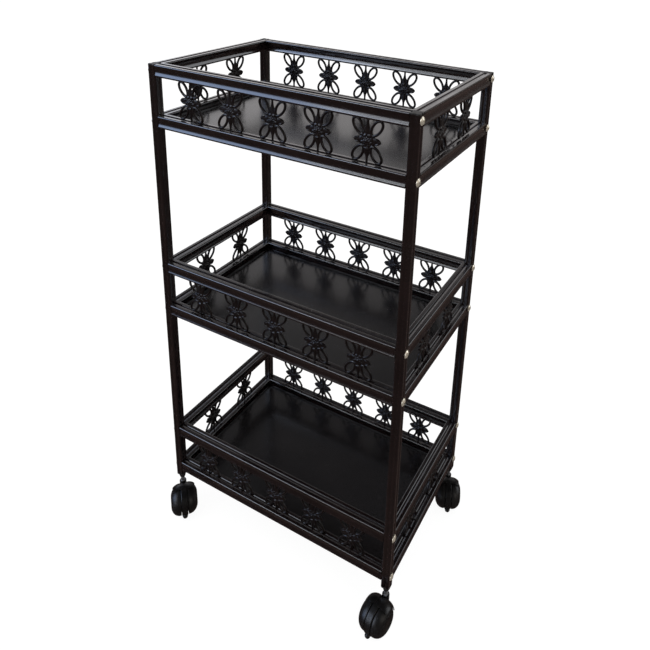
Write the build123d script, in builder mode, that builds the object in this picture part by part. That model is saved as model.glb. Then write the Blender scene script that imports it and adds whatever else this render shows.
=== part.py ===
from build123d import *
import os
from math import cos, radians, sin

# Three-tier rolling salon trolley.
# Frame: +Z up, origin on the floor under the middle of the footprint,
# +X to the right along the long side, +Y to the back. Millimetres.

os.makedirs("parts", exist_ok=True)

# ---------------------------------------------------------- shared dimensions
FRAME_L = 400.0          # over the posts, along X
FRAME_W = 252.0          # over the posts, along Y
FOOT_Z = 60.0            # foot of the posts above the floor
POST_TOP = 760.0         # top of the posts and of the top rails
CAP_T = 1.5              # cap plate on the post top

POST = 13.0              # post is a square tube
POST_GROOVE = 4.0        # width of the groove down each face
POST_GROOVE_D = 1.0
POST_CORNER_R = 2.4
POST_LIP_R = 1.6         # rounding at the edges of the grooves
TUBE_WALL = 1.0

RAIL_D = 16.0            # rail across its run
RAIL_H = 17.0            # rail height
RAIL_FLUTE = 12.0        # wide hollow down each side face
RAIL_FLUTE_D = 1.5
RAIL_GROOVE = 5.0        # narrow groove along the top and the underside
RAIL_GROOVE_D = 1.2
RAIL_CORNER_R = 1.6
RAIL_LIP_R = 1.15
RAIL_STEP = 72.0         # from a tier's upper rail to its lower rail
TIER_TOPS = {"top": POST_TOP, "middle": 461.0, "bottom": 159.0}   # top of the upper rail

LEDGE_OUT = 5.0          # ledge that carries the tray, out from the rail
LEDGE_ROOT = 1.3         # how far the ledge reaches into the rail's side
LEDGE_T = 1.5
LEDGE_TOP = 14.9         # below the top of the lower rail

SCREW_D = 4.8
SCREW_HOLE_D = 5.2
STEM_D = 6.0             # castor stem

# x and y signs of each corner, and outward direction of each side
CORNERS = {
    "front_left": (-1, -1),
    "front_right": (1, -1),
    "back_left": (-1, 1),
    "back_right": (1, 1),
}
SIDES = {"front": (0, -1), "back": (0, 1), "left": (-1, 0), "right": (1, 0)}

# ------------------------------------------------------------ derived places
HALF_L, HALF_W = FRAME_L / 2, FRAME_W / 2
POST_C = POST / 2
POST_SPOTS = {
    corner: (sign_x * (HALF_L - POST_C), sign_y * (HALF_W - POST_C))
    for corner, (sign_x, sign_y) in CORNERS.items()
}
RAIL_X, RAIL_Y = HALF_L - RAIL_D / 2, HALF_W - RAIL_D / 2   # rail middles from the origin
SCREW_Z = [
    top - drop - RAIL_H / 2 for top in TIER_TOPS.values() for drop in (0, RAIL_STEP)
]
# square core that fits inside a post
POST_CORE = POST - 2 * (POST_GROOVE_D + TUBE_WALL) - 0.2


def keep(part, name):
    part.label = name
    export_step(part, f"parts/{name}.step")


def copies(part, spots, clean=False):
    """One part made of a copy of the given part at each spot."""
    with BuildPart() as group:
        with Locations(*spots):
            add(part, clean=clean)
    return group.part


# ------------------------------------------------------------- tube sections
def groove_radius(width, depth):
    return (width * width / 4 + depth * depth) / (2 * depth)


def beaded(width, height, side, side_d, top, top_d, corner_r, lip_r):
    """Rounded rectangle with a shallow hollow in each side face and in the top and bottom."""
    r_side = groove_radius(side, side_d)
    r_top = groove_radius(top, top_d)
    with BuildSketch() as outline:
        Rectangle(width, height)
        with Locations((width / 2 - side_d + r_side, 0), (-width / 2 + side_d - r_side, 0)):
            Circle(r_side, mode=Mode.SUBTRACT)
        with Locations((0, height / 2 - top_d + r_top), (0, -height / 2 + top_d - r_top)):
            Circle(r_top, mode=Mode.SUBTRACT)
        fillet(
            outline.vertices().filter_by(
                lambda v: abs(v.X) > width / 2 - 0.01 and abs(v.Y) > height / 2 - 0.01
            ),
            corner_r,
        )
        # edges of the hollows
        fillet(
            outline.vertices().filter_by(
                lambda v: (abs(abs(v.X) - top / 2) < 0.01 and abs(v.Y) > height / 2 - 0.01)
                or (abs(abs(v.Y) - side / 2) < 0.01 and abs(v.X) > width / 2 - 0.01)
            ),
            lip_r,
        )
    return outline.sketch


def hollow(outline, wall):
    with BuildSketch() as tube:
        add(outline)
        offset(outline, amount=-wall, mode=Mode.SUBTRACT)
    return tube.sketch


def with_ledge(tube):
    """Tube section with the tray's ledge standing out on its +x side."""
    with BuildSketch() as section:
        add(tube)
        with Locations((RAIL_D / 2 - LEDGE_ROOT, RAIL_H / 2 - LEDGE_TOP - LEDGE_T)):
            Rectangle(LEDGE_OUT + LEDGE_ROOT, LEDGE_T, align=(Align.MIN, Align.MIN))
    return section.sketch


POST_OUTLINE = beaded(
    POST, POST, POST_GROOVE, POST_GROOVE_D, POST_GROOVE, POST_GROOVE_D,
    POST_CORNER_R, POST_LIP_R,
)
POST_TUBE = hollow(POST_OUTLINE, TUBE_WALL)
RAIL_OUTLINE = beaded(
    RAIL_D, RAIL_H, RAIL_FLUTE, RAIL_FLUTE_D, RAIL_GROOVE, RAIL_GROOVE_D,
    RAIL_CORNER_R, RAIL_LIP_R,
)
RAIL_TUBE = hollow(RAIL_OUTLINE, TUBE_WALL)
RAIL_WITH_LEDGE = with_ledge(RAIL_TUBE)


# --------------------------------------------------------------------- posts
def make_post(post_x, post_y):
    with BuildPart() as post:
        with BuildSketch(Plane((post_x, post_y, FOOT_Z))):
            add(POST_TUBE)
        extrude(amount=POST_TOP - CAP_T - FOOT_Z)
        # screw holes, right through along X
        with BuildSketch(Plane.YZ.offset(post_x)):
            with Locations(*[(post_y, z) for z in SCREW_Z]):
                Circle(SCREW_HOLE_D / 2)
        extrude(amount=POST, both=True, mode=Mode.SUBTRACT)
    return post.part


for corner, spot in POST_SPOTS.items():
    keep(make_post(*spot), f"post_{corner}")

# --------------------------------------------------------------------- rails
MITRE_IN = POST + RAIL_D    # reach of the mitre cuts in from the outer corner
MITRE_OVER = 1.0            # overshoot of the mitre cuts above and below the rail


def make_rail(side, z_top, section):
    """Rail between two posts; the section's +x side faces into the trolley."""
    out_x, out_y = SIDES[side]
    is_long = out_x == 0
    run = (FRAME_L if is_long else FRAME_W) - 2 * POST
    middle = (out_x * RAIL_X, out_y * RAIL_Y, z_top - RAIL_H / 2)
    # mitre triangle, as distances in from the outer corner along x and y
    cut = [
        (POST, POST),
        (MITRE_IN, MITRE_IN),
        (POST, MITRE_IN) if is_long else (MITRE_IN, POST),
    ]
    ends = [signs for signs in CORNERS.values() if signs[0] == out_x or signs[1] == out_y]
    with BuildPart() as rail:
        with BuildSketch(Plane(middle, x_dir=(-out_x, -out_y, 0), z_dir=(-out_y, out_x, 0))):
            add(section)
        extrude(amount=run / 2, both=True)
        with BuildSketch(Plane.XY.offset(z_top - RAIL_H - MITRE_OVER)):
            for sign_x, sign_y in ends:
                points = [(sign_x * (HALF_L - x), sign_y * (HALF_W - y)) for x, y in cut]
                Polygon(*points, align=None)
        extrude(amount=RAIL_H + 2 * MITRE_OVER, mode=Mode.SUBTRACT)
    return rail.part


for tier, top in TIER_TOPS.items():
    for side in SIDES:
        keep(make_rail(side, top, RAIL_TUBE), f"rail_{tier}_{side}_upper")
        keep(make_rail(side, top - RAIL_STEP, RAIL_WITH_LEDGE), f"rail_{tier}_{side}_lower")

# --------------------------------------------------------------------- trays
TRAY_DOWN = 10.0         # tray surface below the top of the lower rail
TRAY_T = 0.8             # sheet thickness
TRAY_GAP = 0.5           # between the tray's edge and the rails
TRAY_CORNER_R = 3.0
TRAY_EDGE_R = 1.5        # rounding round the top
TRAY_L = FRAME_L - 2 * RAIL_D - 2 * TRAY_GAP
TRAY_W = FRAME_W - 2 * RAIL_D - 2 * TRAY_GAP
TRAY_H = LEDGE_TOP - TRAY_DOWN


def make_tray(base_z):
    """Shallow sheet pan, upside down, standing on the ledges."""
    with BuildPart() as tray:
        with BuildSketch(Plane.XY.offset(base_z)):
            RectangleRounded(TRAY_L, TRAY_W, TRAY_CORNER_R)
        extrude(amount=TRAY_H)
        fillet(tray.edges().group_by(Axis.Z)[-1], TRAY_EDGE_R)
        with BuildSketch(Plane.XY.offset(base_z)):
            RectangleRounded(TRAY_L - 2 * TRAY_T, TRAY_W - 2 * TRAY_T, TRAY_CORNER_R - TRAY_T)
        extrude(amount=TRAY_H - TRAY_T, mode=Mode.SUBTRACT)
    return tray.part


for tier, top in TIER_TOPS.items():
    keep(make_tray(top - RAIL_STEP - LEDGE_TOP), f"tray_{tier}")

# ----------------------------------------------------------------- ornaments
ORNAMENTS_LONG = 5                   # on each long side of a tier
ORNAMENTS_SHORT = 2
HALF_GAP = (RAIL_STEP - RAIL_H) / 2  # half the gap between the two rails
TIP = HALF_GAP + 0.6                 # loops and uprights reach into the rails' grooves
WIRE_R = 1.1                         # half the thickness of the loops
LOOP_A, LOOP_B = 10.0, 5.4           # half axes of a loop's centreline
LOOP_TILT = 33.0                     # its lean away from the upright
LOOP_TURN = Location((11.6, 15.3, 0), (0, 0, 90 - LOOP_TILT))
LOOP_FOOT_X, LOOP_FOOT_W = 15.3, 3.0
LOOP_FOOT_START = 24.0               # height where the foot leaves the loop
ROSETTE_R, ROSETTE_HALF_T = 6.0, 2.3
PETALS, PETAL_R, PETAL_RING_R = 8, 2.6, 5.9
DOME_R = 4.3

# Outlines in the ornament's face: across, up
UPRIGHT = [
    (1.2, TIP), (1.3, 19.5), (3.4, 15.8), (3.4, -15.8), (1.3, -19.5), (1.2, -TIP),
    (-1.2, -TIP), (-1.3, -19.5), (-3.4, -15.8), (-3.4, 15.8), (-1.3, 19.5), (-1.2, TIP),
]
SIDE_PETALS = [
    (18.0, 0), (15.6, 3.4), (8.0, 5.4), (-8.0, 5.4), (-15.6, 3.4),
    (-18.0, 0), (-15.6, -3.4), (-8.0, -5.4), (8.0, -5.4), (15.6, -3.4),
]


def make_ornament():
    """Ornament about the origin, its face in the XZ plane."""
    with BuildPart() as ornament:
        # four open oval loops leaning outwards, tapered uprights, blunt side petals
        with BuildSketch(Plane.XZ):
            with Locations(LOOP_TURN):
                Ellipse(LOOP_A + WIRE_R, LOOP_B + WIRE_R)
            # foot of the loop in the rail's groove
            with Locations((LOOP_FOOT_X, (LOOP_FOOT_START + TIP) / 2)):
                Rectangle(LOOP_FOOT_W, TIP - LOOP_FOOT_START)
            with Locations(LOOP_TURN):
                Ellipse(LOOP_A - WIRE_R, LOOP_B - WIRE_R, mode=Mode.SUBTRACT)
            mirror(about=Plane.YZ)
            mirror(about=Plane.XZ)
            Polygon(*UPRIGHT, align=None)
            Polygon(*SIDE_PETALS, align=None)
        extrude(amount=WIRE_R, both=True)
        # rosette, alike on both faces: rounded petals about a domed centre
        with BuildSketch(Plane.XZ):
            Circle(ROSETTE_R)
            with PolarLocations(PETAL_RING_R, PETALS):
                Circle(PETAL_R)
        extrude(amount=ROSETTE_HALF_T, both=True)
        Sphere(DOME_R)
    return ornament.part


ORNAMENT = make_ornament()
for tier, top in TIER_TOPS.items():
    middle_z = top - RAIL_H - HALF_GAP
    long_spots = [
        Location((-HALF_L + FRAME_L * k / (ORNAMENTS_LONG + 1), sign * RAIL_Y, middle_z))
        for sign in (-1, 1)
        for k in range(1, ORNAMENTS_LONG + 1)
    ]
    short_spots = [
        Location(
            (sign * RAIL_X, -HALF_W + FRAME_W * k / (ORNAMENTS_SHORT + 1), middle_z), (0, 0, 90)
        )
        for sign in (-1, 1)
        for k in range(1, ORNAMENTS_SHORT + 1)
    ]
    keep(copies(ORNAMENT, long_spots), f"ornaments_{tier}_long_sides")
    keep(copies(ORNAMENT, short_spots), f"ornaments_{tier}_short_sides")

# ------------------------------------------------------- screws and end plugs
SCREW_L = 27.0                   # under the head
SCREW_TIP_R, SCREW_TIP_L = 1.2, 2.0
HEAD_R = 10.5 / 2
HEAD_H = 2.8
HEAD_RIM = 0.6                   # straight rim below the head's dome
HEAD_MID = (-2.1, 3.2)           # point on the dome: along the axis, radius
SLOT_L, SLOT_W = 5.0, 1.1        # cross recess
SLOT_CUT = 1.7
SLOT_START = 0.1                 # the cut starts this far outside the head

PLUG_L = 14.0                    # threaded plug in the end of a long rail
PLUG_W, PLUG_H = 10.8, 12.4
PLUG_CHAMFER = 1.0
PLUG_IN = 1.5                    # how far the plug sits inside the rail


def make_screw():
    """Axis along +X, underside of the head at x = 0, head towards -X."""
    with BuildPart() as screw:
        with BuildSketch(Plane.XY):
            with BuildLine():
                Polyline(
                    (-HEAD_H, 0), (SCREW_L, 0), (SCREW_L, SCREW_TIP_R),
                    (SCREW_L - SCREW_TIP_L, SCREW_D / 2), (0, SCREW_D / 2),
                    (0, HEAD_R), (-HEAD_RIM, HEAD_R),
                )
                ThreePointArc((-HEAD_RIM, HEAD_R), HEAD_MID, (-HEAD_H, 0))
            make_face()
        revolve(axis=Axis.X)
        with BuildSketch(Plane.YZ.offset(-HEAD_H - SLOT_START)):
            Rectangle(SLOT_L, SLOT_W)
            Rectangle(SLOT_W, SLOT_L)
        extrude(amount=SLOT_CUT, mode=Mode.SUBTRACT)
    return screw.part


def make_plug():
    """Runs from x = 0 towards +X, its hole on the screw's axis."""
    with BuildPart() as plug:
        with BuildSketch(Plane.YZ):
            Rectangle(PLUG_W, PLUG_H)
        extrude(amount=PLUG_L)
        chamfer(plug.edges().group_by(Axis.X)[-1], PLUG_CHAMFER)
        with BuildSketch(Plane.YZ):
            with Locations((POST_C - RAIL_D / 2, 0)):
                Circle(SCREW_D / 2)
        extrude(amount=PLUG_L, mode=Mode.SUBTRACT)
    return plug.part


screw_spots, plug_spots = [], []
for sign_x in (-1, 1):
    # a turn about Z sends the pieces on the right-hand side towards -X
    turn = 0 if sign_x < 0 else 180
    for sign_y in (-1, 1):
        # the plug's hole lies towards the outside of the trolley
        flip = 0 if sign_x * sign_y > 0 else 180
        for z in SCREW_Z:
            screw_at = (sign_x * HALF_L, sign_y * (HALF_W - POST_C), z)
            plug_at = (sign_x * (HALF_L - POST - PLUG_IN), sign_y * RAIL_Y, z)
            screw_spots.append(Location(screw_at, (0, 0, turn)))
            plug_spots.append(Location(plug_at, (flip, 0, turn)))
keep(copies(make_screw(), screw_spots), "frame_screws")
keep(copies(make_plug(), plug_spots), "rail_end_plugs")

# ------------------------------------------------ post caps, sockets and stems
CAP_EDGE_R = 0.4
CAP_CORE_L = 3.0                 # core of the cap, down inside the post
SOCKET_CORE_L = 14.0             # core of the socket, up inside the post
FLANGE_T = 2.0                   # plate under the post
NECK_Z = FOOT_Z - 9.0            # lower end of the tapered neck
NECK_TOP_R, NECK_LOW_R = 6.1, 4.3
SOCKET_BORE_L = 21.0             # blind bore from the neck's lower end

BARREL_TOP = 41.0                # top of the castor housing's barrel
STEM_LOW = BARREL_TOP - 15.0
STEM_TOP = FOOT_Z + 11.5
COLLAR_R, COLLAR_T = 3.8, 1.2    # collar on the stem, just above the barrel
COLLAR_GAP = 0.1
STEM_TOP_CHAMFER, STEM_LOW_CHAMFER = 0.6, 0.8


def make_caps():
    with BuildPart() as caps:
        with BuildSketch(Plane.XY.offset(POST_TOP - CAP_T)):
            with Locations(*POST_SPOTS.values()):
                add(POST_OUTLINE)
        extrude(amount=CAP_T)
        fillet(caps.edges().group_by(Axis.Z)[-1], CAP_EDGE_R)
        with BuildSketch(Plane.XY.offset(POST_TOP - CAP_T)):
            with Locations(*POST_SPOTS.values()):
                Rectangle(POST_CORE, POST_CORE)
        extrude(amount=-CAP_CORE_L)
    return caps.part


def make_sockets():
    with BuildPart() as sockets:
        with BuildSketch(Plane.XY.offset(FOOT_Z)):
            with Locations(*POST_SPOTS.values()):
                Rectangle(POST_CORE, POST_CORE)
        extrude(amount=SOCKET_CORE_L)
        with BuildSketch(Plane.XY.offset(FOOT_Z - FLANGE_T)):
            with Locations(*POST_SPOTS.values()):
                RectangleRounded(POST, POST, POST_CORNER_R)
        extrude(amount=FLANGE_T)
        for post_x, post_y in POST_SPOTS.values():
            with BuildSketch(Plane((post_x, post_y, FOOT_Z - FLANGE_T))):
                Circle(NECK_TOP_R)
            with BuildSketch(Plane((post_x, post_y, NECK_Z))):
                Circle(NECK_LOW_R)
            loft()
        with BuildSketch(Plane.XY.offset(NECK_Z)):
            with Locations(*POST_SPOTS.values()):
                Circle(STEM_D / 2)
        extrude(amount=SOCKET_BORE_L, mode=Mode.SUBTRACT)
    return sockets.part


def make_stems():
    with BuildPart() as stems:
        with BuildSketch(Plane.XY.offset(STEM_LOW)):
            with Locations(*POST_SPOTS.values()):
                Circle(STEM_D / 2)
        extrude(amount=STEM_TOP - STEM_LOW)
        with BuildSketch(Plane.XY.offset(BARREL_TOP + COLLAR_GAP)):
            with Locations(*POST_SPOTS.values()):
                Circle(COLLAR_R)
        extrude(amount=COLLAR_T)
        chamfer(stems.edges().group_by(Axis.Z)[-1], STEM_TOP_CHAMFER)
        chamfer(stems.edges().group_by(Axis.Z)[0], STEM_LOW_CHAMFER)
    return stems.part


keep(make_caps(), "post_caps")
keep(make_sockets(), "castor_sockets")
keep(make_stems(), "castor_stems")

# ------------------------------------------------------------------- castors
# Made with the stem axis on Z and the axle trailing along +X.
HEADINGS = {"front_left": -43.0, "front_right": -97.0, "back_right": -67.0, "back_left": 113.0}
TRAIL = 23.0             # stem axis to axle
RUN_GAP = 0.05           # radial clearance of a running fit

WHEEL_R = 23.0
WHEEL_IN = 5.6           # inner face of a wheel from the castor's middle plane
WHEEL_OUT = 21.0         # outer face
TREAD_OUT = 7.0          # where the flat tread ends and the dome begins
TREAD_BEVEL = 0.6        # on the tread's inner edge
HUB_R = 8.0
DISH_R, DISH_D = 6.0, 0.6        # shallow bevelled dish in the hub's outer face
BORE_END = 14.6          # blind end of the axle bore
RING_AT = (TREAD_OUT + 12.52, HUB_R + 6.71)   # fine ring groove in the dome
RING_R = 0.55
# hollow inside a wheel: distance from the middle plane, radius
WHEEL_HOLLOW = [(WHEEL_IN, 6.0), (17.4, 6.0), (17.4, 10.0), (12.0, 19.2), (WHEEL_IN, 20.2)]

AXLE_D = 5.0
AXLE_HALF_L = 14.4
AXLE_CHAMFER = 0.5

RIB = 10.0               # thickness of the housing between the wheels
RIB_R = 24.0
RIB_EDGE_R = 1.4
RIB_LOW = 7.0            # flat underside of the housing above the floor
LIP_IN, LIP_OUT = 15.0, 18.4     # ring on the housing that stands into each wheel's hollow
LIP_REACH = 8.2          # face of that ring from the middle plane
TOE_ANGLE = radians(-36)
TOE_AT = RIB_R + 0.4     # toe's centre from the axle
TOE_R = 4.2
BARREL_R, BARREL_LOW = 5.4, 18.0
BORE_LOW = BARREL_TOP - 16.0     # lower end of the stem bore
HOOD_GAP, HOOD_T = 0.7, 1.2
HOOD_START, HOOD_SWEEP = 84, 88  # angles about the axle, from the trailing direction
HOOD_ARC = 42            # part of the wheel's elliptical dome that the hood covers
HOOD_ROOT = 3.0          # hood's inner edge from the middle plane

AXLE_AT = (TRAIL, 0, WHEEL_R)
AXLE_AXIS = Axis(AXLE_AT, (0, 1, 0))
AXLE_PLANE = Plane(origin=AXLE_AT, x_dir=(1, 0, 0), z_dir=(0, -1, 0))
# rectangle that cuts a disc about the axle off flat at RIB_LOW
UNDERCUT_AT = (0, -RIB_R)
UNDERCUT = (3 * RIB_R, 2 * (RIB_R - WHEEL_R + RIB_LOW))


def across_axle(angle):
    """Plane through the axle: x along it, y out at this angle above the trailing direction."""
    a = radians(angle)
    return Plane(origin=AXLE_AT, x_dir=(0, 1, 0), z_dir=(sin(a), 0, -cos(a)))


def make_wheel(side):
    """Domed wheel on one side of the housing, open inside, closed over the axle's end."""
    bore_r = AXLE_D / 2 + RUN_GAP
    with BuildPart() as wheel:
        with BuildSketch(across_axle(90)):
            with BuildLine():
                Polyline(
                    (WHEEL_OUT, HUB_R), (WHEEL_OUT, DISH_R + DISH_D),
                    (WHEEL_OUT - DISH_D, DISH_R), (WHEEL_OUT - DISH_D, 0),
                    (BORE_END, 0), (BORE_END, bore_r), (WHEEL_IN, bore_r),
                    *WHEEL_HOLLOW,
                    (WHEEL_IN, WHEEL_R - TREAD_BEVEL), (WHEEL_IN + TREAD_BEVEL, WHEEL_R),
                    (TREAD_OUT, WHEEL_R),
                )
                EllipticalCenterArc(
                    (TREAD_OUT, HUB_R), WHEEL_OUT - TREAD_OUT, WHEEL_R - HUB_R,
                    start_angle=0, arc_size=90,
                )
            make_face()
        revolve(axis=AXLE_AXIS)
        with BuildSketch(across_axle(90)):
            with Locations(RING_AT):
                Circle(RING_R)
        revolve(axis=AXLE_AXIS, mode=Mode.SUBTRACT)
        if side < 0:
            mirror(about=Plane.XZ, mode=Mode.REPLACE)
    return wheel.part


def make_axle():
    with BuildPart() as axle:
        with BuildSketch(AXLE_PLANE):
            Circle(AXLE_D / 2)
        extrude(amount=AXLE_HALF_L, both=True)
        chamfer(axle.edges().filter_by(GeomType.CIRCLE), AXLE_CHAMFER)
    return axle.part


def make_housing():
    with BuildPart() as housing:
        # plate between the wheels, cut off above the floor
        with BuildSketch(AXLE_PLANE):
            Circle(RIB_R)
            with Locations(UNDERCUT_AT):
                Rectangle(*UNDERCUT, mode=Mode.SUBTRACT)
        extrude(amount=RIB / 2, both=True)
        fillet(
            housing.edges().filter_by(
                lambda e: e.geom_type == GeomType.CIRCLE and abs(e.radius - RIB_R) < 0.01
            ),
            RIB_EDGE_R,
        )
        # ring on each side that stands into the wheel's hollow
        with BuildSketch(AXLE_PLANE):
            Circle(LIP_OUT)
            Circle(LIP_IN, mode=Mode.SUBTRACT)
            with Locations(UNDERCUT_AT):
                Rectangle(*UNDERCUT, mode=Mode.SUBTRACT)
        extrude(amount=LIP_REACH, both=True)
        # rounded toe at the trailing end
        with Locations((TRAIL + TOE_AT * cos(TOE_ANGLE), 0, WHEEL_R + TOE_AT * sin(TOE_ANGLE))):
            Sphere(TOE_R)
        # barrel round the stem
        with BuildSketch(Plane.XY.offset(BARREL_LOW)):
            Circle(BARREL_R)
        extrude(amount=BARREL_TOP - BARREL_LOW)
        # hood: a shell that follows both wheels over the stem side
        arc_a = WHEEL_OUT - TREAD_OUT + HOOD_GAP
        arc_b = WHEEL_R - HUB_R + HOOD_GAP
        r_in = WHEEL_R + HOOD_GAP
        r_out = r_in + HOOD_T
        for side in (1, -1):
            tread_x = side * TREAD_OUT
            arc_start = 90 - HOOD_ARC if side > 0 else 90
            rim_end = 0 if side > 0 else 1      # end of the arcs at the hood's outer rim
            with BuildSketch(across_axle(HOOD_START)):
                with BuildLine():
                    inner = EllipticalCenterArc(
                        (tread_x, HUB_R), arc_a, arc_b,
                        start_angle=arc_start, arc_size=HOOD_ARC,
                    )
                    outer = EllipticalCenterArc(
                        (tread_x, HUB_R), arc_a + HOOD_T, arc_b + HOOD_T,
                        start_angle=arc_start, arc_size=HOOD_ARC,
                    )
                    Polyline(
                        (tread_x, r_in), (side * HOOD_ROOT, r_in),
                        (side * HOOD_ROOT, r_out), (tread_x, r_out),
                    )
                    Line(inner @ rim_end, outer @ rim_end)
                make_face()
            revolve(axis=Axis(AXLE_AT, (0, -1, 0)), revolution_arc=HOOD_SWEEP)
        # bores for the stem and the axle, cut well past the housing
        with BuildSketch(Plane.XY.offset(BORE_LOW)):
            Circle(STEM_D / 2 + RUN_GAP)
        extrude(amount=40, mode=Mode.SUBTRACT)
        with BuildSketch(AXLE_PLANE):
            Circle(AXLE_D / 2)
        extrude(amount=30, both=True, mode=Mode.SUBTRACT)
    return housing.part


CASTOR_PIECES = {
    "housing": make_housing(),
    "axle": make_axle(),
    "wheel_left": make_wheel(1),
    "wheel_right": make_wheel(-1),
}
for corner, (post_x, post_y) in POST_SPOTS.items():
    spot = Location((post_x, post_y, 0), (0, 0, HEADINGS[corner]))
    for piece, part in CASTOR_PIECES.items():
        keep(copies(part, [spot], clean=True), f"castor_{corner}_{piece}")
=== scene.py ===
import bpy
import bmesh
import math
from mathutils import Matrix, Vector, noise


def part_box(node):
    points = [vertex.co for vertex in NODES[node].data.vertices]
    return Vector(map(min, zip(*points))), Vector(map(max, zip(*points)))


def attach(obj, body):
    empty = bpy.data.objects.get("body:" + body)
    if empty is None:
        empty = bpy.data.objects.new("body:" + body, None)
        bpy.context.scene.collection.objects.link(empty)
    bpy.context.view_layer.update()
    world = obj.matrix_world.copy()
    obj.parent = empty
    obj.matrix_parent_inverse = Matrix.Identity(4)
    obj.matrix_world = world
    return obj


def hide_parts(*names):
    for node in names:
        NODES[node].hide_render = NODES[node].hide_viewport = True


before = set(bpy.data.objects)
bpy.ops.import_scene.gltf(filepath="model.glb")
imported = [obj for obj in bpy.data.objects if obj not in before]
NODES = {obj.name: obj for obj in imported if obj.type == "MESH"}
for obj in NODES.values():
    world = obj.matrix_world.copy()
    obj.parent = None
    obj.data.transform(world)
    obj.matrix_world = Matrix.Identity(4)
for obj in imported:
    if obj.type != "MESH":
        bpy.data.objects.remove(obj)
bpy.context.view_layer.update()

MM = 0.001


# ======================================================================
# node helpers
# ======================================================================
class Tree:
    """Short calls for building a node tree."""

    def __init__(self, tree):
        self.t = tree
        tree.nodes.clear()

    def node(self, kind, **values):
        n = self.t.nodes.new(kind)
        for k, v in values.items():
            setattr(n, k, v)
        return n

    def put(self, socket, value):
        if value is None:
            return
        if isinstance(value, bpy.types.NodeSocket):
            self.t.links.new(value, socket)
        else:
            socket.default_value = value

    def math(self, op, a, b=None, c=None, clamp=False):
        n = self.node("ShaderNodeMath", operation=op, use_clamp=clamp)
        for i, v in enumerate((a, b, c)):
            self.put(n.inputs[i], v)
        return n.outputs[0]

    def vmath(self, op, a, b=None, c=None):
        n = self.node("ShaderNodeVectorMath", operation=op)
        for i, v in enumerate((a, b, c)):
            if v is not None:
                self.put(n.inputs[i], v)
        return n.outputs["Value"] if op in ("DOT_PRODUCT", "LENGTH", "DISTANCE") else n.outputs[0]

    def ramp(self, value, lo, hi, out_lo=0.0, out_hi=1.0, smooth=True):
        n = self.node("ShaderNodeMapRange", interpolation_type="SMOOTHSTEP" if smooth else "LINEAR")
        self.put(n.inputs[0], value)
        self.put(n.inputs[1], lo)
        self.put(n.inputs[2], hi)
        self.put(n.inputs[3], out_lo)
        self.put(n.inputs[4], out_hi)
        return n.outputs[0]

    def mix(self, factor, a, b, blend="MIX"):
        n = self.node("ShaderNodeMix", data_type="RGBA", blend_type=blend)
        self.put(n.inputs[0], factor)
        self.put(n.inputs[6], a if isinstance(a, bpy.types.NodeSocket) else (*a, 1.0))
        self.put(n.inputs[7], b if isinstance(b, bpy.types.NodeSocket) else (*b, 1.0))
        return n.outputs[2]

    def noise(self, vector, scale, detail=2.0, rough=0.5, distortion=0.0):
        n = self.node("ShaderNodeTexNoise", noise_dimensions="3D")
        self.put(n.inputs["Vector"], vector)
        n.inputs["Scale"].default_value = scale
        n.inputs["Detail"].default_value = detail
        n.inputs["Roughness"].default_value = rough
        n.inputs["Distortion"].default_value = distortion
        return n.outputs[0]

    def voronoi(self, vector, scale, feature="F1"):
        n = self.node("ShaderNodeTexVoronoi", feature=feature)
        self.put(n.inputs["Vector"], vector)
        n.inputs["Scale"].default_value = scale
        return n.outputs[0]

    def bump(self, height, strength, distance, normal=None):
        n = self.node("ShaderNodeBump")
        n.inputs["Strength"].default_value = strength
        n.inputs["Distance"].default_value = distance
        self.put(n.inputs["Height"], height)
        if normal is not None:
            self.put(n.inputs["Normal"], normal)
        return n.outputs[0]

    def edges(self, radius, lo=0.02, hi=0.25):
        """0 on open faces, 1 on rounded or sharp edges."""
        b = self.node("ShaderNodeBevel", samples=6)
        b.inputs["Radius"].default_value = radius
        g = self.node("ShaderNodeNewGeometry")
        d = self.vmath("DOT_PRODUCT", b.outputs[0], g.outputs["Normal"])
        return self.ramp(self.math("SUBTRACT", 1.0, d), lo, hi)


def material(name):
    m = bpy.data.materials.new(name)
    m.use_nodes = True
    return m, Tree(m.node_tree)


def principled(t, **inputs):
    p = t.node("ShaderNodeBsdfPrincipled")
    for k, v in inputs.items():
        t.put(p.inputs[k.replace("_", " ")], v)
    out = t.node("ShaderNodeOutputMaterial")
    t.t.links.new(p.outputs[0], out.inputs[0])
    return p


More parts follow.
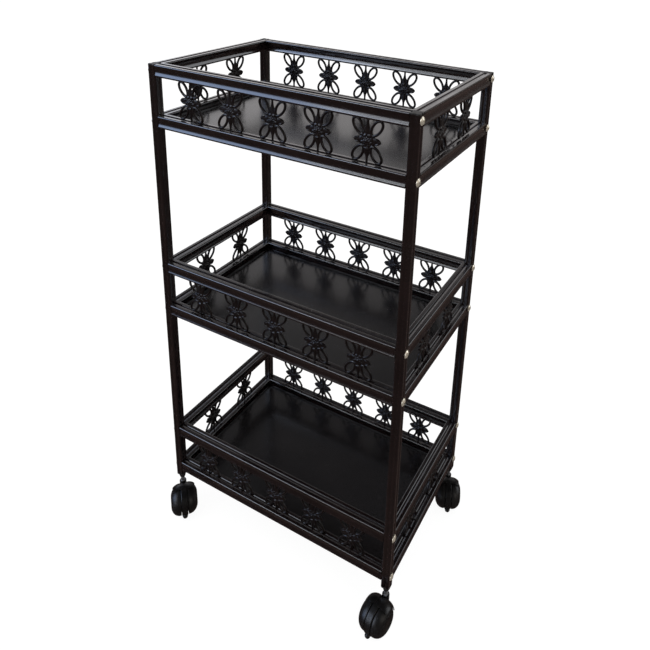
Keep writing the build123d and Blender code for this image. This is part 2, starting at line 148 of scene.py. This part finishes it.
# ======================================================================
# materials
# ======================================================================
def enamel(name, base, lift, rough, coat, coat_rough, peel, dust=0.25, wear=0.35, cast=0.0, spec=0.5):
    """Baked black enamel: depth of colour that wanders a little, orange peel, rubbed edges, dust on what faces up."""
    m, t = material(name)
    tc = t.node("ShaderNodeTexCoord")
    p = tc.outputs["Object"]
    geo = t.node("ShaderNodeNewGeometry")
    cloud = t.noise(p, 14.0, 3.0, 0.55)
    fine = t.noise(p, 240.0, 2.0, 0.5)
    smear = t.noise(p, 38.0, 4.0, 0.6, 0.6)
    tone = t.mix(t.ramp(cloud, 0.3, 0.7), base, lift)
    edge = t.math("MULTIPLY", t.edges(0.0009, 0.015, 0.22), t.ramp(smear, 0.42, 0.66))
    worn = t.mix(t.math("MULTIPLY", edge, wear), tone, (0.055, 0.050, 0.048))
    up = t.node("ShaderNodeSeparateXYZ")
    t.put(up.inputs[0], geo.outputs["Normal"])
    lie = t.math("MULTIPLY", t.ramp(up.outputs[2], 0.55, 0.98), t.ramp(t.noise(p, 90.0, 5.0, 0.65), 0.46, 0.72))
    colour = t.mix(t.math("MULTIPLY", lie, dust), worn, (0.105, 0.098, 0.092))
    r = t.ramp(smear, 0.25, 0.8, rough * 0.8, rough * 1.35)
    r = t.math("ADD", r, t.math("MULTIPLY", lie, 0.18 * dust / 0.25))
    r = t.math("ADD", r, t.math("MULTIPLY", edge, 0.12), clamp=True)
    height = t.math("ADD", t.math("MULTIPLY", fine, 0.35), t.noise(p, 420.0, 1.0, 0.5))
    n = t.bump(height, peel, 0.0002)
    if cast:
        grain = t.math("ADD", t.noise(p, 900.0, 3.0, 0.6), t.math("MULTIPLY", t.voronoi(p, 620.0), 0.8))
        n = t.bump(grain, cast, 0.0004, n)
    principled(
        t, Base_Color=colour, Roughness=r, Coat_Weight=coat, Coat_Roughness=coat_rough,
        Specular_IOR_Level=spec, Normal=n, Coat_Normal=n,
    )
    return m


def tray_enamel():
    """Satin black on rolled sheet: long faint roll waves, a fine powder texture, hairline scuffs and settled dust."""
    m, t = material("tray_satin_enamel")
    tc = t.node("ShaderNodeTexCoord")
    p = tc.outputs["Object"]
    stretch = t.node("ShaderNodeMapping")
    stretch.inputs["Scale"].default_value = (1.0, 0.12, 1.0)
    t.put(stretch.inputs[0], p)
    roll = t.noise(stretch.outputs[0], 26.0, 2.0, 0.5)
    cloud = t.noise(p, 9.0, 4.0, 0.55, 0.4)
    powder = t.noise(p, 1500.0, 2.0, 0.6)
    scratch_a = t.node("ShaderNodeMapping")
    scratch_a.inputs["Scale"].default_value = (60.0, 1.6, 1.0)
    scratch_a.inputs["Rotation"].default_value = (0.0, 0.0, math.radians(57))
    t.put(scratch_a.inputs[0], p)
    hair = t.math("MULTIPLY", t.ramp(t.noise(scratch_a.outputs[0], 9.0, 3.0, 0.75), 0.655, 0.70), t.ramp(cloud, 0.45, 0.62))
    specks = t.math("MULTIPLY", t.ramp(t.voronoi(p, 260.0), 0.10, 0.05), t.ramp(t.noise(p, 33.0, 2.0, 0.5), 0.5, 0.66))
    base = t.mix(t.ramp(cloud, 0.3, 0.72), (0.0038, 0.0030, 0.0034), (0.0062, 0.0050, 0.0052))
    base = t.mix(t.math("MULTIPLY", specks, 0.10), base, (0.06, 0.056, 0.052))
    base = t.mix(t.math("MULTIPLY", hair, 0.07), base, (0.06, 0.056, 0.052))
    edge = t.edges(0.0012, 0.02, 0.25)
    base = t.mix(t.math("MULTIPLY", edge, 0.18), base, (0.05, 0.046, 0.045))
    r = t.ramp(cloud, 0.2, 0.8, 0.165, 0.225)
    r = t.math("ADD", r, t.math("MULTIPLY", hair, 0.04))
    r = t.math("ADD", r, t.math("MULTIPLY", specks, 0.10), clamp=True)
    n = t.bump(roll, 0.05, 0.003)
    n = t.bump(powder, 0.02, 0.0001, n)
    principled(t, Base_Color=base, Roughness=r, Specular_IOR_Level=0.80, Normal=n)
    return m


def plated(name, tint, rough, brushed=0.0, stain=0.3, metallic=1.0):
    """Plated steel: soft reflection, a fine even grain, dull patches and darker hollows."""
    m, t = material(name)
    tc = t.node("ShaderNodeTexCoord")
    p = tc.outputs["Object"]
    cloud = t.noise(p, 160.0, 4.0, 0.6)
    fine = t.noise(p, 1400.0, 2.0, 0.5)
    tone = t.mix(t.ramp(cloud, 0.35, 0.7), tint, tuple(c * 0.62 for c in tint))
    cavity = t.edges(0.0006, 0.03, 0.5)
    tone = t.mix(t.math("MULTIPLY", cavity, stain), tone, (0.10, 0.085, 0.07))
    r = t.ramp(cloud, 0.2, 0.8, rough * 0.8, rough * 1.4)
    n = t.bump(fine, 0.10 + brushed, 0.0001)
    principled(t, Base_Color=tone, Metallic=metallic, Roughness=r, Normal=n)
    return m


def plastic(name, base, lift, rough, grain, sheen_rough=None, scuff=0.3, grain_scale=900.0):
    """Moulded plastic: fine spark texture, patchy gloss, greyed edges and grit from the floor."""
    m, t = material(name)
    tc = t.node("ShaderNodeTexCoord")
    p = tc.outputs["Object"]
    cloud = t.noise(p, 45.0, 4.0, 0.6)
    spark = t.noise(p, grain_scale, 3.0, 0.6)
    tone = t.mix(t.ramp(cloud, 0.3, 0.7), base, lift)
    edge = t.math("MULTIPLY", t.edges(0.0010, 0.02, 0.3), t.ramp(t.noise(p, 150.0, 3.0, 0.6), 0.38, 0.6))
    tone = t.mix(t.math("MULTIPLY", edge, scuff), tone, (0.12, 0.115, 0.11))
    xyz = t.node("ShaderNodeSeparateXYZ")
    t.put(xyz.inputs[0], p)
    low = t.math("MULTIPLY", t.ramp(xyz.outputs[2], 0.016, 0.001), t.ramp(t.noise(p, 210.0, 4.0, 0.7), 0.40, 0.62))
    tone = t.mix(t.math("MULTIPLY", low, 0.14), tone, (0.10, 0.092, 0.08))
    r = t.ramp(cloud, 0.2, 0.8, rough * 0.85, rough * 1.2)
    r = t.math("ADD", r, t.math("MULTIPLY", low, 0.2), clamp=True)
    n = t.bump(spark, grain, 0.00025)
    principled(t, Base_Color=tone, Roughness=r, Specular_IOR_Level=0.30, Normal=n)
    return m


FINISH = {
    "frame_paint": enamel(
        "frame_gloss_enamel", (0.0036, 0.0018, 0.0020), (0.0070, 0.0038, 0.0037), 0.20, 0.75, 0.05, 0.07,
        dust=0.07, wear=0.14, spec=0.30,
    ),
    "ornament_paint": enamel(
        "ornament_cast_enamel", (0.0028, 0.0016, 0.0016), (0.0058, 0.0034, 0.0031), 0.36, 0.30, 0.10, 0.07,
        dust=0.04, wear=0.10, cast=0.08, spec=0.16,
    ),
    "tray_paint": tray_enamel(),
    "screw_metal": plated("screw_nickel", (0.80, 0.73, 0.60), 0.20, metallic=0.70),
    "steel": plated("stem_steel", (0.44, 0.44, 0.45), 0.30, 0.05, 0.5, metallic=0.8),
    "black_plastic": plastic("moulded_black_nylon", (0.010, 0.009, 0.009), (0.016, 0.014, 0.014), 0.42, 0.18),
    "castor_housing": plastic("castor_housing_nylon", (0.0030, 0.0027, 0.0028), (0.0060, 0.0055, 0.0055), 0.34, 0.10, scuff=0.12),
    "castor_wheel": plastic(
        "castor_wheel_nylon", (0.0038, 0.0034, 0.0034), (0.0075, 0.0068, 0.0066), 0.38, 0.12, scuff=0.14
    ),
}

MATERIAL_OF = {}
for name, obj in NODES.items():
    for index, s in enumerate(obj.material_slots):
        was = s.material.name.split(".")[0] if s.material else ""
        MATERIAL_OF[name] = was
        if was in FINISH:
            s.material = FINISH[was]


# ======================================================================
# mesh helpers
# ======================================================================
def finish_mesh(name, bm, mat, smooth=True):
    bmesh.ops.recalc_face_normals(bm, faces=bm.faces)
    mesh = bpy.data.meshes.new(name)
    bm.to_mesh(mesh)
    bm.free()
    for poly in mesh.polygons:
        poly.use_smooth = smooth
    mesh.materials.append(mat)
    obj = bpy.data.objects.new(name, mesh)
    bpy.context.scene.collection.objects.link(obj)
    return obj


def rings_to_faces(bm, rings, closed_run, cap=True):
    """Skins rings of vertices, each ring closed, into a tube."""
    count = len(rings)
    for i in range(count if closed_run else count - 1):
        a, b = rings[i], rings[(i + 1) % count]
        k = len(a)
        for j in range(k):
            bm.faces.new((a[j], a[(j + 1) % k], b[(j + 1) % k], b[j]))
    if cap and not closed_run:
        bm.faces.new(list(reversed(rings[0])))
        bm.faces.new(rings[-1])


def apply_modifiers(obj):
    dg = bpy.context.evaluated_depsgraph_get()
    made = bpy.data.meshes.new_from_object(obj.evaluated_get(dg), depsgraph=dg)
    old = obj.data
    obj.modifiers.clear()
    obj.data = made
    bpy.data.meshes.remove(old)
    return obj


# ======================================================================
# flower ornaments
# ======================================================================
# Local axes: x across, z up, y towards the inside of the trolley, in millimetres.
GAP = 27.5


def loop_ring(bm, sx, sz):
    """Open drop-shaped loop: an ellipse leaning out, drawn round from cast wire, fatter where it meets the flower."""
    tilt = math.radians(33)
    ca, sa = math.cos(tilt), math.sin(tilt)
    cx, cz, a, b = 11.7, 15.9, 10.6, 5.45
    steps, sides = 44, 12
    rings = []
    for i in range(steps):
        f = 2 * math.pi * i / steps
        # f = 0 at the outer end
        along, side = a * math.cos(f), b * math.sin(f) * (1.0 + 0.10 * math.cos(f))
        x = cx + along * sa + side * ca
        z = cz + along * ca - side * sa
        df = 1e-3
        along2, side2 = a * math.cos(f + df), b * math.sin(f + df) * (1.0 + 0.10 * math.cos(f + df))
        tx = (along2 * sa + side2 * ca) - (along * sa + side * ca)
        tz = (along2 * ca - side2 * sa) - (along * ca - side * sa)
        ln = math.hypot(tx, tz)
        nx, nz = tz / ln, -tx / ln
        thick = 1.70 + 0.25 * max(0.0, -math.cos(f)) ** 2
        deep = 1.70 + 0.20 * max(0.0, -math.cos(f)) ** 2
        ring = []
        for j in range(sides):
            g = 2 * math.pi * j / sides
            r = thick * math.cos(g)
            ring.append(bm.verts.new((sx * (x + nx * r), deep * math.sin(g), sz * (z + nz * r))))
        rings.append(ring)
    rings_to_faces(bm, rings, True)


def leaf(bm, stations, sides=14, ridge=0.0, axis="z", sign=1.0):
    """Solid leaf along an axis: stations of (along, half width, half thickness); ridge sharpens the middle line."""
    rings = []
    for s, w, h in stations:
        ring = []
        for j in range(sides):
            g = 2 * math.pi * j / sides
            c, q = math.cos(g), math.sin(g)
            y = h * q * (1.0 - ridge * abs(c))
            if axis == "z":
                ring.append(bm.verts.new((w * c, y, s * sign)))
            else:
                ring.append(bm.verts.new((s * sign, y, w * c)))
        rings.append(ring)
    rings_to_faces(bm, rings, False)


def blob(bm, centre, size, turn=0.0, lean=0.0, rings=12, sides=18, pinch=0.0, crease=0.0):
    """Petal-like closed form: an ellipsoid, narrower at one end, with an optional crease along its top and bottom."""
    grid = []
    rot = Matrix.Rotation(turn, 4, "Y") @ Matrix.Rotation(lean, 4, "Z")
    for i in range(1, rings):
        th = math.pi * i / rings
        ring = []
        for j in range(sides):
            ph = 2 * math.pi * j / sides
            x = math.cos(th)
            w = math.sin(th) * (1.0 + pinch * x)
            y, z = w * math.sin(ph), w * math.cos(ph)
            if crease:
                y *= 1.0 - crease * math.exp(-((z / 0.28) ** 2)) * abs(math.sin(ph))
            v = rot @ Vector((x * size[0], y * size[1], z * size[2]))
            ring.append(bm.verts.new(Vector(centre) + v))
        grid.append(ring)
    tip_a = bm.verts.new(Vector(centre) + rot @ Vector((size[0], 0, 0)))
    tip_b = bm.verts.new(Vector(centre) + rot @ Vector((-size[0], 0, 0)))
    for i in range(len(grid) - 1):
        for j in range(sides):
            k = (j + 1) % sides
            bm.faces.new((grid[i][j], grid[i][k], grid[i + 1][k], grid[i + 1][j]))
    for j in range(sides):
        k = (j + 1) % sides
        bm.faces.new((tip_a, grid[0][k], grid[0][j]))
        bm.faces.new((tip_b, grid[-1][j], grid[-1][k]))


def build_ornament():
    bm = bmesh.new()
    for sx in (-1, 1):
        for sz in (-1, 1):
            loop_ring(bm, sx, sz)
            # dab of braze where the loop's end meets the rail
            blob(bm, (sx * 16.1, 0, sz * 26.6), (1.5, 1.35, 1.45))
    # uprights: a leaf that narrows to a square-cut tang in the rail's groove
    for sign in (-1, 1):
        leaf(
            bm,
            [(3.0, 5.6, 1.6), (6.5, 5.6, 1.9), (9.0, 5.3, 1.95), (11.5, 5.0, 1.9), (13.5, 4.5, 1.75), (15.2, 3.8, 1.7),
             (16.8, 2.9, 1.6), (18.4, 2.2, 1.5), (20.2, 1.75, 1.45), (22.5, 1.5, 1.45), (25.0, 1.45, 1.4), (28.05, 1.5, 1.4)],
            ridge=0.25, axis="z", sign=sign,
        )
    # side petals: short and blunt, spooned on both faces
    for sign in (-1, 1):
        leaf(
            bm,
            [(5.0, 5.0, 1.9), (8.0, 5.1, 1.9), (10.0, 4.6, 1.75), (11.5, 4.35, 1.6), (13.0, 4.2, 1.55), (14.5, 3.75, 1.6),
             (15.8, 3.0, 1.6), (16.9, 2.0, 1.35), (17.7, 0.9, 0.85), (18.0, 0.25, 0.3)],
            sides=20, axis="x", sign=sign,
        )
        for z, r in ((2.9, 0.9), (-2.9, 0.9)):
            blob(bm, (sign * 12.6, 0, z), (3.6, 2.2, 1.15), turn=sign * (0.30 if z > 0 else -0.30))
    # rosette: eight outer petals, eight inner petals, a domed button
    for k in range(8):
        g = 2 * math.pi * (k + 0.5) / 8
        cx, cz = 5.5 * math.cos(g), 5.5 * math.sin(g)
        for s in (-1, 1):
            blob(bm, (cx, s * 0.9, cz), (3.3, 1.95, 2.15), turn=-g, pinch=0.22, crease=0.35)
    for k in range(8):
        g = 2 * math.pi * k / 8
        for s in (-1, 1):
            blob(bm, (3.0 * math.cos(g), s * 1.7, 3.0 * math.sin(g)), (1.9, 1.35, 1.35), turn=-g, pinch=0.15)
    blob(bm, (0, 0, 0), (2.9, 4.1, 2.9), rings=16, sides=24)
    # cross bead that closes the leaf against the rosette: low on the outer face, high on the inner face
    for z, y in ((-8.8, -1.6), (8.2, 1.6)):
        blob(bm, (0, y, z), (3.6, 1.55, 1.45))
    return bm


def make_ornament_mesh():
    bm = build_ornament()
    bmesh.ops.scale(bm, vec=(MM, MM, MM), verts=bm.verts)
    draft = finish_mesh("ornament_draft", bm, FINISH["ornament_paint"])
    m = draft.modifiers.new("fuse", "REMESH")
    m.mode = "VOXEL"
    m.voxel_size = 0.30 * MM
    m.use_smooth_shade = True
    s = draft.modifiers.new("soften", "SMOOTH")
    s.factor, s.iterations = 0.5, 3
    d = draft.modifiers.new("thin", "DECIMATE")
    d.decimate_type = "COLLAPSE"
    d.ratio = 0.22
    apply_modifiers(draft)
    mesh = draft.data.copy()
    bpy.data.objects.remove(draft)
    mesh.name = "ornament"
    # stay inside the design's height
    for v in mesh.vertices:
        v.co.z = max(-28.1 * MM, min(28.1 * MM, v.co.z))
    return mesh


ORNAMENT = make_ornament_mesh()


def ornament_spots(node):
    """Centres of the ornaments in a CAD node, from its box: two rows, one on each side of the trolley."""
    low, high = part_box(node)
    mid = (low + high) / 2
    long_side = "long" in node
    count = 5 if long_side else 2
    run, cross = (0, 1) if long_side else (1, 0)
    width = min(high[run] - low[run], NODE_WIDTH)
    a, b = low[run] + width / 2, high[run] - width / 2
    half_t = 4.3 * MM
    spots = []
    for s in (-1, 1):
        c = (low[cross] + half_t) if s < 0 else (high[cross] - half_t)
        for k in range(count):
            u = a + (b - a) * k / (count - 1)
            pos = Vector((u, c, mid.z)) if long_side else Vector((c, u, mid.z))
            # local +y points into the trolley
            if long_side:
                turn = 0.0 if s < 0 else math.pi
            else:
                turn = -math.pi / 2 if s < 0 else math.pi / 2
            spots.append((pos, turn))
    return spots


NODE_WIDTH = 2 * 19.74 * MM
for node in sorted(n for n in NODES if n.startswith("ornaments_")):
    bm = bmesh.new()
    for pos, turn in ornament_spots(node):
        before = len(bm.verts)
        bm.from_mesh(ORNAMENT)
        bm.verts.ensure_lookup_table()
        fresh = bm.verts[before:]
        bmesh.ops.transform(bm, matrix=Matrix.Translation(pos) @ Matrix.Rotation(turn, 4, "Z"), verts=fresh)
    mesh = bpy.data.meshes.new(node.replace("ornaments", "castings"))
    bm.to_mesh(mesh)
    bm.free()
    for poly in mesh.polygons:
        poly.use_smooth = True
    if not mesh.materials:
        mesh.materials.append(FINISH["ornament_paint"])
    piece = bpy.data.objects.new(mesh.name, mesh)
    bpy.context.scene.collection.objects.link(piece)
    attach(piece, "frame")
    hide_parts(node)
bpy.data.meshes.remove(ORNAMENT)


# ======================================================================
# floor, world, lights, camera
# ======================================================================
scene = bpy.context.scene
scene.view_settings.view_transform = "Standard"
scene.view_settings.look = "None"


def make_floor():
    bm = bmesh.new()
    rings = []
    for r in (0.0, 0.3, 0.8, 2.0, 6.0, 14.0):
        if r == 0.0:
            centre = bm.verts.new((0, 0, 0))
            continue
        rings.append([bm.verts.new((r * math.cos(2 * math.pi * k / 64), r * math.sin(2 * math.pi * k / 64), 0)) for k in range(64)])
    for k in range(64):
        bm.faces.new((centre, rings[0][k], rings[0][(k + 1) % 64]))
    for a, b in zip(rings, rings[1:]):
        for k in range(64):
            bm.faces.new((a[k], b[k], b[(k + 1) % 64], a[(k + 1) % 64]))
    mesh = bpy.data.meshes.new("studio_floor")
    bm.to_mesh(mesh)
    bm.free()
    obj = bpy.data.objects.new("studio_floor", mesh)
    scene.collection.objects.link(obj)
    m, t = material("pale_floor")
    tc = t.node("ShaderNodeTexCoord")
    p = tc.outputs["Object"]
    d = t.node("ShaderNodeBsdfDiffuse")
    t.put(d.inputs[0], t.mix(t.noise(p, 3.0, 3.0), (0.86, 0.86, 0.86), (0.90, 0.90, 0.895)))
    own = t.node("ShaderNodeEmission")
    own.inputs[0].default_value = (1, 1, 1, 1)
    own.inputs[1].default_value = 1.10
    seen = t.node("ShaderNodeMixShader")
    seen.inputs[0].default_value = 0.84
    t.t.links.new(d.outputs[0], seen.inputs[1])
    t.t.links.new(own.outputs[0], seen.inputs[2])
    # what polished parts mirror of it: a dim warm floor
    dim = t.node("ShaderNodeEmission")
    dim.inputs[0].default_value = (0.30, 0.215, 0.190, 1)
    dim.inputs[1].default_value = 0.26
    path = t.node("ShaderNodeLightPath")
    either = t.node("ShaderNodeMixShader")
    t.put(either.inputs[0], path.outputs["Is Glossy Ray"])
    t.t.links.new(seen.outputs[0], either.inputs[1])
    t.t.links.new(dim.outputs[0], either.inputs[2])
    out = t.node("ShaderNodeOutputMaterial")
    t.t.links.new(either.outputs[0], out.inputs[0])
    obj.data.materials.append(m)
    return obj


make_floor()


def make_world():
    world = bpy.data.worlds.new("soft_studio")
    scene.world = world
    world.use_nodes = True
    t = Tree(world.node_tree)
    tc = t.node("ShaderNodeTexCoord")
    d = tc.outputs["Generated"]
    xyz = t.node("ShaderNodeSeparateXYZ")
    t.put(xyz.inputs[0], d)
    z = xyz.outputs[2]

    # the room the polished parts mirror: dark and warm low down, darker still overhead
    wall = t.mix(t.ramp(z, 0.0, 0.45), (0.115, 0.092, 0.080), (0.030, 0.030, 0.034))
    angle = t.math("ARCTAN2", xyz.outputs[0], xyz.outputs[1])
    # pale back wall behind the trolley, fading upwards, with soft upright bands
    pale = t.math("MULTIPLY", t.ramp(angle, -1.15, -0.85), t.ramp(angle, 0.10, -0.28))
    low_part = t.ramp(z, 0.38, 0.60, 1.0, 0.20)
    high_part = t.ramp(z, 0.60, 0.80, 1.0, 0.10)
    pale = t.math("MULTIPLY", pale, t.math("MULTIPLY", low_part, high_part))
    pale = t.math("MULTIPLY", pale, t.ramp(z, -0.02, 0.06))
    bands = t.node("ShaderNodeTexNoise", noise_dimensions="1D")
    t.put(bands.inputs["W"], angle)
    bands.inputs["Scale"].default_value = 26.0
    bands.inputs["Detail"].default_value = 2.0
    bright = t.mix(t.ramp(bands.outputs[0], 0.38, 0.60), (0.52, 0.50, 0.50), (0.90, 0.87, 0.87))
    # the wall lightens towards the window on the left
    bright = t.mix(t.ramp(angle, -0.45, -0.76), bright, (1.02, 0.99, 1.0))
    wall = t.mix(pale, wall, bright)

    total = wall

    def card(direction, half_w, half_h, soft, colour, strength, slats=0.0):
        """A soft-edged rectangular panel of light, seen from the middle of the room along direction, with level slats if asked."""
        nonlocal total
        f = Vector(direction).normalized()
        right = f.cross(Vector((0, 0, 1))).normalized()
        up = right.cross(f)
        ahead = t.vmath("DOT_PRODUCT", d, tuple(f))
        safe = t.math("MAXIMUM", ahead, 0.05)
        u = t.math("ABSOLUTE", t.math("DIVIDE", t.vmath("DOT_PRODUCT", d, tuple(right)), safe))
        v = t.math("ABSOLUTE", t.math("DIVIDE", t.vmath("DOT_PRODUCT", d, tuple(up)), safe))
        mu = t.ramp(u, half_w * (1 - soft), half_w * (1 + soft), 1.0, 0.0)
        mv = t.ramp(v, half_h * (1 - soft), half_h * (1 + soft), 1.0, 0.0)
        mask = t.math("MULTIPLY", t.math("MULTIPLY", mu, mv), t.ramp(ahead, 0.05, 0.2))
        if slats:
            wave = t.math("SINE", t.math("MULTIPLY", z, 2 * math.pi * slats))
            mask = t.math("MULTIPLY", mask, t.ramp(wave, -0.5, 0.5, 0.12, 1.0))
        add = t.node("ShaderNodeMix", data_type="RGBA", blend_type="ADD", clamp_result=False)
        t.put(add.inputs[0], mask)
        t.put(add.inputs[6], total)
        add.inputs[7].default_value = (*[c * strength for c in colour], 1.0)
        total = add.outputs[2]

    for spec in CARDS:
        card(*spec)

    path = t.node("ShaderNodeLightPath")
    white = t.mix(path.outputs["Is Glossy Ray"], (1.0, 1.0, 1.0), total)
    bg = t.node("ShaderNodeBackground")
    t.put(bg.inputs[0], white)
    bg.inputs[1].default_value = 1.0
    out = t.node("ShaderNodeOutputWorld")
    t.t.links.new(bg.outputs[0], out.inputs[0])
    world.cycles.sampling_method = "NONE"


# direction, half width, half height (as tangents), softness, colour, strength
CARDS = [
    # cool window, front left, from the horizon up
    ((-0.73, -0.68, 0.40), 0.27, 0.36, 0.30, (0.50, 0.66, 1.0), 5.2),
    # plain daylight through slats, front
    ((-0.36, -0.93, 0.42), 0.20, 0.36, 0.18, (0.90, 0.94, 1.0), 6.4, 11.0),
    # second window, back left, mirrored by the tops of the rails
    ((-0.84, 0.54, 0.34), 0.18, 0.14, 0.35, (0.58, 0.74, 1.0), 0.9),
    # faint overhead strip
    ((-0.30, 0.05, 0.95), 0.45, 0.14, 0.5, (0.85, 0.90, 1.0), 0.55),
    # right-hand side, warm and faint
    ((0.96, -0.10, 0.30), 0.30, 0.18, 0.5, (1.0, 0.92, 0.82), 1.5),
    # window, back right, for the far sides
    ((0.72, 0.68, 0.30), 0.27, 0.28, 0.3, (0.92, 0.96, 1.0), 2.4),
    # behind, for the far sides
    ((0.35, 0.88, 0.30), 0.16, 0.07, 0.5, (1.0, 0.92, 0.84), 0.7),
]
make_world()


def area_light(name, at, towards, size, power, colour):
    data = bpy.data.lights.new(name, "AREA")
    data.shape = "RECTANGLE"
    data.size, data.size_y = size
    data.energy = power
    data.color = colour
    obj = bpy.data.objects.new(name, data)
    obj.location = at
    obj.rotation_mode = "QUATERNION"
    obj.rotation_quaternion = (Vector(towards) - Vector(at)).to_track_quat("-Z", "Y")
    obj.visible_camera = False
    scene.collection.objects.link(obj)
    return obj


area_light("soft_key", (-1.5, -1.7, 2.1), (0, 0, 0.4), (1.2, 0.8), 9.0, (0.93, 0.96, 1.0))
area_light("soft_fill", (1.9, -0.9, 1.5), (0, 0, 0.3), (0.9, 0.9), 3.5, (1.0, 0.96, 0.90))


def make_camera():
    """Seen from the right of the front, above the top tier. The picture is the upper left part of a wider view, so the lens is shifted; the shift holds only from this spot, and every other view is centred."""
    data = bpy.data.cameras.new("camera")
    cam = bpy.data.objects.new("camera", data)
    scene.collection.objects.link(cam)
    scene.camera = cam
    az, el, roll = (math.radians(a) for a in (27.12, 18.26, -2.58))
    back = Vector((math.sin(az) * math.cos(el), -math.cos(az) * math.cos(el), math.sin(el)))
    forward = -back
    right = forward.cross(Vector((0, 0, 1))).normalized()
    down = forward.cross(right)
    r2 = math.cos(roll) * right + math.sin(roll) * down
    d2 = -math.sin(roll) * right + math.cos(roll) * down
    rot = Matrix((r2, -d2, back)).transposed()
    cam.rotation_mode = "QUATERNION"
    cam.rotation_quaternion = rot.to_quaternion()
    cam.location = CAMERA_AT
    data.sensor_fit = "AUTO"
    data.sensor_width = 36.0
    data.lens = 35.05
    data.clip_start, data.clip_end = 0.02, 60.0
    for path, value in (("shift_x", SHIFT[0]), ("shift_y", SHIFT[1])):
        curve = data.driver_add(path)
        drv = curve.driver
        drv.type = "SCRIPTED"
        var = drv.variables.new()
        var.name = "z"
        var.type = "TRANSFORMS"
        var.targets[0].id = cam
        var.targets[0].transform_type = "LOC_Z"
        var.targets[0].transform_space = "WORLD_SPACE"
        drv.expression = f"{value} if abs(z - {CAMERA_AT[2]}) < 0.0005 else 0.0"
    return cam


CAMERA_AT = (0.4538, -0.7196, 0.9525)
SHIFT = (-0.0806, -0.2988)
make_camera()

bpy.context.view_layer.update()
